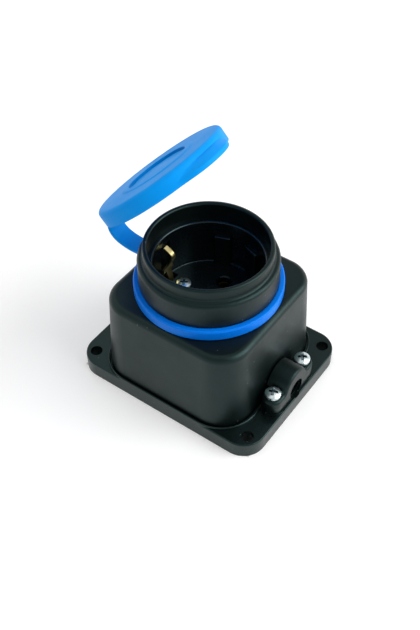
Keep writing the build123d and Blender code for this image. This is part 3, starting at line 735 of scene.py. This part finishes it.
@dataclass
class FlipLid:
    """Flip lid: dished top with a bead, a skirt, and a thumb tab that swells out of it. Millimetres."""

    centre: tuple[float, float] = (-16.385, 81.2)
    turn: float = LID_TURN
    lid_open: float = LID_OPEN
    radius: float = 25.0
    height: float = 5.9
    top_wall: float = 1.9
    edge: float = 1.6
    skirt: float = 1.0
    skirt_root: float = 1.5
    rim_edge: float = 0.4
    dish_radius: float = 11.5
    dish_depth: float = 0.6
    dish_lean: float = 0.1
    dish_root: float = 0.1
    dish_crest: float = 0.15
    crest_inset: float = 0.02
    bead_radius: float = 14.2
    bead_rise: float = 0.4
    bead_slope: float = 1.4
    tab_reach: float = 3.76
    tab_radius: float = 14.3
    tab_thickness: float = 1.6
    tab_flare: float = 2.2
    tab_slope: float = 52.0
    tab_blend: float = 1.3
    tab_fade: float = 0.6
    steps: int = 360
    dish_wall_steps: int = 2
    bead_steps: int = 8
    edge_steps: int = 6
    wall_steps: int = 26
    rim_turns: tuple[float, ...] = (30, 60, 90)
    crease: float = 35.0

    def wall(self, height: float, angle: float) -> float:
        """Find how far out the skirt and the tab stand, softly blended where they meet.

        Args:
            height: Height above the skirt's rim.
            angle: Angle about the lid's axis, 0 at the tab.

        Returns:
            Distance from the axis.
        """
        reach = self.radius
        above = height - self.tab_thickness
        if above < self.tab_flare:
            shrink = max(above, 0.0) * math.tan(math.radians(self.tab_slope))
            middle = self.radius + self.tab_reach - self.tab_radius
            inside = (self.tab_radius - shrink) ** 2 - (middle * math.sin(angle)) ** 2
            tab = middle * math.cos(angle) + math.sqrt(max(inside, 0.0))
            blend = self.tab_blend * min(1.0, (self.tab_flare - above) / self.tab_fade)
            soft = max(blend - abs(tab - reach), 0.0)
            reach = max(tab, reach) + (soft**2 / (4 * blend) if soft else 0.0)
        low = max(self.rim_edge - height, 0.0)
        return reach - self.rim_edge + math.sqrt(self.rim_edge**2 - low**2)

    def profile(self) -> list[tuple[float | None, float]]:
        """Trace the half section from the middle of the top round to the middle of the ceiling.

        Returns:
            Distance from the axis and height of each point; the distance is None on the skirt's outer wall.
        """
        top = self.height
        crown = top + self.bead_rise
        floor = top - self.dish_depth
        ceiling = top - self.top_wall
        foot = self.dish_radius - self.dish_lean
        crest = self.dish_radius - self.crest_inset
        points: list[tuple[float | None, float]] = [(0.0, floor), (foot - self.dish_root, floor)]
        points += [(foot, floor + self.dish_root)]
        points += [(crest, crown - self.dish_crest), (crest + self.dish_crest, crown)]
        for step in range(self.bead_steps + 1):
            share = step / self.bead_steps
            fall = (1 + math.cos(math.pi * share)) / 2
            points += [(self.bead_radius + self.bead_slope * (share - 0.5), top + self.bead_rise * fall)]
        points += self.arc(self.radius - self.edge, top - self.edge, self.edge)
        drop = (top - self.edge) / self.wall_steps
        points += [(None, (self.wall_steps - 1 - step) * drop) for step in range(self.wall_steps - 1)]
        points += [(None, self.rim_edge * (1 - math.sin(math.radians(turn)))) for turn in self.rim_turns]
        points += [(self.radius - self.skirt, 0.0)]
        points += [(self.radius - self.skirt_root, ceiling), (0.0, ceiling)]
        return points

    def arc(self, across: float, height: float, radius: float) -> list[tuple[float | None, float]]:
        """Quarter circle from its top round to its outside."""
        turns = [math.radians(90 - 90 * step / self.edge_steps) for step in range(self.edge_steps + 1)]
        return [(across + radius * math.cos(turn), height + radius * math.sin(turn)) for turn in turns]

    def mesh(self) -> bpy.types.Mesh:
        """Turn the section about the lid's axis.

        Returns:
            A closed mesh that stands where the open lid stands.
        """
        profile = self.profile()
        tilt = math.radians(self.lid_open)
        turn = math.radians(self.turn)
        stand = Matrix.Rotation(turn, 4, "Z") @ Matrix.Translation((self.centre[0], 0.0, self.centre[1]))
        stand = stand @ Matrix.Rotation(-tilt, 4, "Y")
        angles = [2 * math.pi * step / self.steps for step in range(self.steps)]
        rings = [
            [(self.wall(height, angle) if reach is None else reach, angle, height) for angle in angles]
            for reach, height in profile[1:-1]
        ]
        spots = [(0.0, 0.0, profile[0][1])]
        spots += [spot for ring in rings for spot in ring]
        spots += [(0.0, 0.0, profile[-1][1])]
        points = [stand @ Vector((r * math.cos(a), r * math.sin(a), h)) * MM for r, a, h in spots]
        count = self.steps
        last = len(points) - 1
        follow = [(step + 1) % count for step in range(count)]
        faces: list[tuple[int, ...]] = [(0, 1 + step, 1 + follow[step]) for step in range(count)]
        for ring in range(len(rings) - 1):
            inner = 1 + ring * count
            outer = inner + count
            faces += [(inner + s, outer + s, outer + follow[s], inner + follow[s]) for s in range(count)]
        faces += [(last, last - count + follow[step], last - count + step) for step in range(count)]
        mesh = bpy.data.meshes.new("flip_lid")
        mesh.from_pydata(points, [], faces)
        mesh.shade_smooth()
        mesh.set_sharp_from_angle(angle=math.radians(self.crease))
        return mesh

    def dress(self, lid: bpy.types.Object, store: FinishStore) -> None:
        """Put the lid's finish on it, and the one painted deeper as shade on the wall of its dish.

        Args:
            lid: The lid.
            store: Where the finishes come from.
        """
        store.dress(lid, LID_RUBBER)
        lid.data.materials.append(store.material(DISH_RUBBER))
        # The faces run outwards from the middle of the dish: its floor first, then its wall
        wall_end = (1 + self.dish_wall_steps) * self.steps
        # The dish's wall gets the finish with painted shade
        for face in lid.data.polygons[self.steps : wall_end]:
            face.material_index = 1

    def build(self, store: FinishStore) -> None:
        """Make the lid and hang it on the swinging body.

        Args:
            store: Where the finishes come from.
        """
        lid = bpy.data.objects.new("flip_lid", self.mesh())
        bpy.context.scene.collection.objects.link(lid)
        self.dress(lid, store)
        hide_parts("lid")
        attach(lid, Body.LID.value)
        log.info("lid of %d faces", len(lid.data.polygons))


@dataclass
class CrossScrews:
    """Pan-head screws with a cross recess, all of one size. Millimetres."""

    name: str
    node: str
    seats: tuple[tuple[float, float, float], ...]
    turns: tuple[float, ...]
    head_radius: float
    head_height: float
    length: float
    side: float
    neck: float
    neck_height: float
    shank: float = 1.75
    recess_span: float = 5.2
    recess_width: float = 1.5
    recess_depth: float = 1.4
    recess_taper: float = 0.45
    # The cutter for the recess stands this far above the head
    cutter_rise: float = 1.0
    # Edges shorter than this are left over from the cuts, and are closed up
    weld: float = 0.01
    head_sides: int = 48
    dome_sides: int = 64
    shank_sides: int = 32
    crease: float = 30.0

    def points(self) -> bpy.types.Mesh:
        """Mark where the heads sit and how each screw is turned.

        Returns:
            A mesh of loose points with a turn for each.
        """
        mesh = bpy.data.meshes.new(self.name + "_seats")
        mesh.from_pydata([[v * MM for v in seat] for seat in self.seats], [], [])
        turned = mesh.attributes.new("turn", "FLOAT", "POINT")
        turned.data.foreach_set("value", [math.radians(angle) for angle in self.turns])
        return mesh

    def dome_radius(self) -> float:
        """Radius of the ball whose cap is the top of the head."""
        rise = self.head_height - self.side
        return (self.head_radius**2 + rise**2) / (2 * rise)

    def flare_top(self) -> float:
        """Radius at the head's top of the cone that tapers the head's underside."""
        return self.neck + (self.head_radius - self.neck) * self.head_height / self.neck_height

    def raised(self, recipe: NodeRecipe, mesh: bpy.types.NodeSocket, height: float) -> bpy.types.NodeSocket:
        """Lift a primitive to the height of its middle."""
        return recipe.add("GeometryNodeTransform", {"Geometry": mesh, "Translation": (0.0, 0.0, height)})

    def blank(self, recipe: NodeRecipe) -> bpy.types.NodeSocket:
        """Shape a screw without its recess: a domed head, tapered underneath, on a plain shank.

        Args:
            recipe: Tree that the nodes go into.

        Returns:
            Mesh of one screw, with its seat at the origin.
        """
        radius = recipe.size("Head Radius", self.head_radius)
        height = recipe.size("Head Height", self.head_height)
        shank = recipe.size("Shank Radius", self.shank)
        length = recipe.size("Length", self.length)
        dome = recipe.size("Dome Radius", self.dome_radius())
        neck = recipe.size("Neck Radius", self.neck)
        flare_top = recipe.size("Flare Radius", self.flare_top())
        drum = recipe.add(
            "GeometryNodeMeshCylinder", {"Vertices": self.head_sides, "Radius": radius, "Depth": height}
        )
        ball = recipe.add(
            "GeometryNodeMeshUVSphere",
            {"Segments": self.dome_sides, "Rings": self.dome_sides, "Radius": dome},
        )
        flare = recipe.add(
            "GeometryNodeMeshCone",
            {"Vertices": self.head_sides, "Radius Top": flare_top, "Radius Bottom": neck, "Depth": height},
        )
        stem = recipe.add(
            "GeometryNodeMeshCylinder", {"Vertices": self.shank_sides, "Radius": shank, "Depth": length}
        )
        forms = [
            self.raised(recipe, drum, self.head_height / 2),
            self.raised(recipe, ball, self.head_height - self.dome_radius()),
            flare,
        ]
        head = recipe.join(
            "GeometryNodeMeshBoolean", "Mesh 2", forms, operation="INTERSECT", solver="EXACT"
        )
        stem = self.raised(recipe, stem, self.side / 2 - self.length / 2)
        return recipe.join(
            "GeometryNodeMeshBoolean", "Mesh 2", [head, stem], operation="UNION", solver="EXACT"
        )

    def cross(self, recipe: NodeRecipe) -> bpy.types.NodeSocket:
        """Shape the cutter for the recess: two crossed wings that narrow downwards.

        Args:
            recipe: Tree that the nodes go into.

        Returns:
            Mesh of the cutter, at the height of the recess.
        """
        half_diagonal = math.sqrt(0.5)
        wing = recipe.add(
            "GeometryNodeMeshCone",
            {
                "Vertices": 4,
                "Radius Top": half_diagonal,
                "Radius Bottom": self.recess_taper * half_diagonal,
                "Depth": self.recess_depth + self.cutter_rise,
            },
        )
        square = recipe.add(
            "GeometryNodeTransform", {"Geometry": wing, "Rotation": (0.0, 0.0, math.pi / 4)}
        )
        foot = (0.0, 0.0, self.head_height - self.recess_depth)
        wings = [
            recipe.add(
                "GeometryNodeTransform", {"Geometry": square, "Translation": foot, "Scale": (*span, 1.0)}
            )
            for span in ((self.recess_span, self.recess_width), (self.recess_width, self.recess_span))
        ]
        return recipe.join("GeometryNodeMeshBoolean", "Mesh 2", wings, operation="UNION", solver="EXACT")

    def build(self, store: FinishStore) -> None:
        """Cut one screw and set a copy at each seat.

        Args:
            store: Where the finish comes from.
        """
        recipe = NodeRecipe(self.name + "_recipe")
        cut = recipe.add(
            "GeometryNodeMeshBoolean",
            {"Mesh 1": self.blank(recipe), "Mesh 2": self.cross(recipe)},
            operation="DIFFERENCE",
            solver="EXACT",
        )
        welded = recipe.add("GeometryNodeMergeByDistance", {"Geometry": cut, "Distance": self.weld})
        small = recipe.add("GeometryNodeTransform", {"Geometry": welded, "Scale": (MM, MM, MM)})
        angle = recipe.add("GeometryNodeInputNamedAttribute", {"Name": "turn"}, data_type="FLOAT")
        spin = recipe.add("ShaderNodeCombineXYZ", {"Z": angle})
        copies = recipe.add(
            "GeometryNodeInstanceOnPoints",
            {"Points": recipe.entry.outputs[0], "Instance": small, "Rotation": spin},
        )
        recipe.close(copies, store.material(ZINC))
        screws = recipe.bake(self.name, self.points(), self.crease)
        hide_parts(self.node)
        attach(screws, Body.SOCKET.value)
        log.info("%s of %d faces", self.name, len(screws.data.polygons))


CLAMP_SCREWS = CrossScrews(
    "clamp_screw_pair",
    "clamp_screws",
    seats=((35.1, -10.0, 13.25), (35.1, 10.0, 13.25)),
    turns=(20.0, 35.0),
    head_radius=2.95,
    head_height=2.7,
    length=12.85,
    side=1.7,
    neck=2.35,
    neck_height=0.7,
)
INSERT_SCREWS = CrossScrews(
    "insert_screw_pair",
    "insert_screws",
    seats=((-11.4, 0.0, 35.0), (11.4, 0.0, 35.0)),
    turns=(30.0, 10.0),
    head_radius=2.7,
    head_height=1.5,
    length=14.0,
    side=0.9,
    neck=2.6,
    neck_height=0.2,
    recess_span=4.6,
    recess_width=1.3,
    recess_depth=1.0,
)


@dataclass(frozen=True)
class Lamp:
    """A square soft lamp: where it hangs and its side in metres, and its power in watts."""

    name: str
    place: tuple[float, float, float]
    size: float
    power: float

    def hang(self, target: Vector) -> None:
        """Hang the lamp so that it looks at a point.

        Args:
            target: The point.
        """
        data = bpy.data.lights.new(self.name, "AREA")
        data.size = self.size
        data.energy = self.power
        lamp = bpy.data.objects.new(self.name, data)
        lamp.location = self.place
        lamp.rotation_mode = "QUATERNION"
        lamp.rotation_quaternion = (target - Vector(self.place)).to_track_quat("-Z", "Y")
        bpy.context.scene.collection.objects.link(lamp)


KEY_LAMP = Lamp("key_lamp", (1.05, 0.35, 0.95), 1.1, 15.0)
EDGE_LAMP = Lamp("edge_lamp", (0.95, 0.75, 0.4), 0.7, 4.0)
TOP_LAMP = Lamp("top_lamp", (-0.6, -0.1, 1.3), 2.2, 10.0)


@dataclass
class Studio:
    """White table, soft lamps and the photograph's camera. Camera sizes are for a 420 by 630 picture."""

    azimuth: float = 35.614
    elevation: float = 47.313
    roll: float = -0.401
    lens: float = 53.722
    place: tuple[float, float, float] = (0.13820, -0.19248, 0.28228)
    floor_size: float = 6.0
    floor_colour: str = "#E6E6E6"
    # The table lies this many millimetres under the mounting face
    floor_gap: float = 0.02
    # Glow of the table near the object and far from it, and the distances in metres where it changes
    floor_glow: float = 0.29
    far_glow: float = 0.66
    glow_near: float = 0.4
    glow_far: float = 1.6
    # Half the flange in millimetres: the table doesn't glow under it, so its holes stay dark
    footprint: tuple[float, float] = (38.0, 29.7)
    # Light of the sky, and the heights of a ray between which a white backdrop gives way to it
    sky: float = 0.36
    backdrop_low: float = 0.3
    backdrop_high: float = 0.5
    lamps: tuple[Lamp, ...] = (KEY_LAMP, EDGE_LAMP, TOP_LAMP)
    lamp_target: tuple[float, float, float] = (0.0, 0.0, 0.03)

    def build(self) -> None:
        """Make the camera, the floor, the lamps and the sky."""
        bpy.context.scene.view_settings.view_transform = "Standard"
        self.build_camera()
        self.build_floor()
        self.build_sky()
        for lamp in self.lamps:
            lamp.hang(Vector(self.lamp_target))

    def build_camera(self) -> None:
        """Stand the camera where the photograph was taken."""
        data = bpy.data.cameras.new("camera")
        data.lens = self.lens
        data.sensor_width = 36.0
        data.clip_start = 0.01
        data.clip_end = 50.0
        camera = bpy.data.objects.new("camera", data)
        turn = math.radians(self.azimuth)
        rise = math.radians(self.elevation)
        back = Vector((math.sin(turn) * math.cos(rise), -math.cos(turn) * math.cos(rise), math.sin(rise)))
        aim = (-back).to_track_quat("-Z", "Y").to_matrix().to_4x4()
        roll = Matrix.Rotation(math.radians(self.roll), 4, "Z")
        camera.matrix_world = Matrix.Translation(self.place) @ aim @ roll
        bpy.context.scene.collection.objects.link(camera)
        bpy.context.scene.camera = camera

    def build_floor(self) -> None:
        """Lay a white table just under the mounting face."""
        half = self.floor_size / 2
        mesh = bpy.data.meshes.new("table")
        corners = [(-half, -half, 0.0), (half, -half, 0.0), (half, half, 0.0), (-half, half, 0.0)]
        mesh.from_pydata(corners, [], [(0, 1, 2, 3)])
        mesh.materials.append(self.floor_material())
        table = bpy.data.objects.new("table", mesh)
        bpy.context.scene.collection.objects.link(table)
        table.location.z = -self.floor_gap * MM

    def floor_material(self) -> bpy.types.Material:
        """Make a matte white that glows a little to the camera, so that it is white and keeps the shadow.

        Returns:
            The table's material.
        """
        material = bpy.data.materials.new("white_table")
        material.use_nodes = True
        tree = material.node_tree
        tree.nodes.clear()
        matte = add_node(tree, "ShaderNodeBsdfDiffuse", {"Color": linear(self.floor_colour)})
        spot = add_node(tree, "ShaderNodeTexCoord").outputs["Object"]
        place = add_node(tree, "ShaderNodeSeparateXYZ", {0: spot})
        beyond: list[bpy.types.NodeSocket] = []
        for axis, half_width in enumerate(self.footprint):
            reach = add_node(tree, "ShaderNodeMath", {0: place.outputs[axis]}, operation="ABSOLUTE")
            past = add_node(
                tree, "ShaderNodeMath", {0: reach.outputs[0], 1: half_width * MM}, operation="GREATER_THAN"
            )
            beyond.append(past.outputs[0])
        outside = add_node(tree, "ShaderNodeMath", {0: beyond[0], 1: beyond[1]}, operation="MAXIMUM")
        open_table = add_node(
            tree, "ShaderNodeMath", {0: self.seen(tree), 1: outside.outputs[0]}, operation="MULTIPLY"
        )
        away = add_node(tree, "ShaderNodeVectorMath", {0: spot}, operation="LENGTH")
        level = add_node(
            tree,
            "ShaderNodeMapRange",
            {
                "Value": away.outputs["Value"],
                "From Min": self.glow_near,
                "From Max": self.glow_far,
                "To Min": self.floor_glow,
                "To Max": self.far_glow,
            },
        )
        glow = add_node(
            tree, "ShaderNodeMath", {0: open_table.outputs[0], 1: level.outputs[0]}, operation="MULTIPLY"
        )
        lit = add_node(tree, "ShaderNodeEmission", {"Strength": glow.outputs[0]})
        both = add_node(tree, "ShaderNodeAddShader", {0: matte.outputs[0], 1: lit.outputs[0]})
        add_node(tree, "ShaderNodeOutputMaterial", {"Surface": both.outputs[0]})
        return material

    def seen(self, tree: bpy.types.NodeTree) -> bpy.types.NodeSocket:
        """Find out whether a ray comes from the camera or from a shiny or clear surface.

        Args:
            tree: Material or world tree that the question goes into.

        Returns:
            1 for such a ray and 0 for light that falls on the object.
        """
        ray = add_node(tree, "ShaderNodeLightPath").outputs
        shown = ray["Is Camera Ray"]
        for kind in ("Is Glossy Ray", "Is Transmission Ray"):
            either = add_node(tree, "ShaderNodeMath", {0: shown, 1: ray[kind]}, operation="MAXIMUM")
            shown = either.outputs[0]
        return shown

    def build_sky(self) -> None:
        """Spread an even sky, with a white backdrop low down for the camera."""
        world = bpy.data.worlds.new("studio_sky")
        bpy.context.scene.world = world
        world.use_nodes = True
        tree = world.node_tree
        tree.nodes.clear()
        heading = add_node(tree, "ShaderNodeTexCoord").outputs["Generated"]
        aim = add_node(tree, "ShaderNodeSeparateXYZ", {0: heading})
        low = add_node(
            tree,
            "ShaderNodeMapRange",
            {
                "Value": aim.outputs["Z"],
                "From Min": self.backdrop_low,
                "From Max": self.backdrop_high,
                "To Min": 1.0 - self.sky,
                "To Max": 0.0,
            },
        )
        backdrop = add_node(
            tree, "ShaderNodeMath", {0: low.outputs[0], 1: self.seen(tree)}, operation="MULTIPLY"
        )
        level = add_node(tree, "ShaderNodeMath", {0: backdrop.outputs[0], 1: self.sky}, operation="ADD")
        sky = add_node(
            tree, "ShaderNodeBackground", {"Color": linear("#FFFFFF"), "Strength": level.outputs[0]}
        )
        add_node(tree, "ShaderNodeOutputWorld", {"Surface": sky.outputs[0]})


def main() -> None:
    """Dress the nodes, add the pieces and set the studio."""
    logging.basicConfig(level=logging.INFO, format="%(name)s: %(message)s")
    store = FinishStore()
    store.dress_nodes()
    LidStrap().build(store)
    FlipLid().build(store)
    LipBeads().build(store)
    CLAMP_SCREWS.build(store)
    INSERT_SCREWS.build(store)
    Studio().build()


if __name__ == "__main__":
    main()
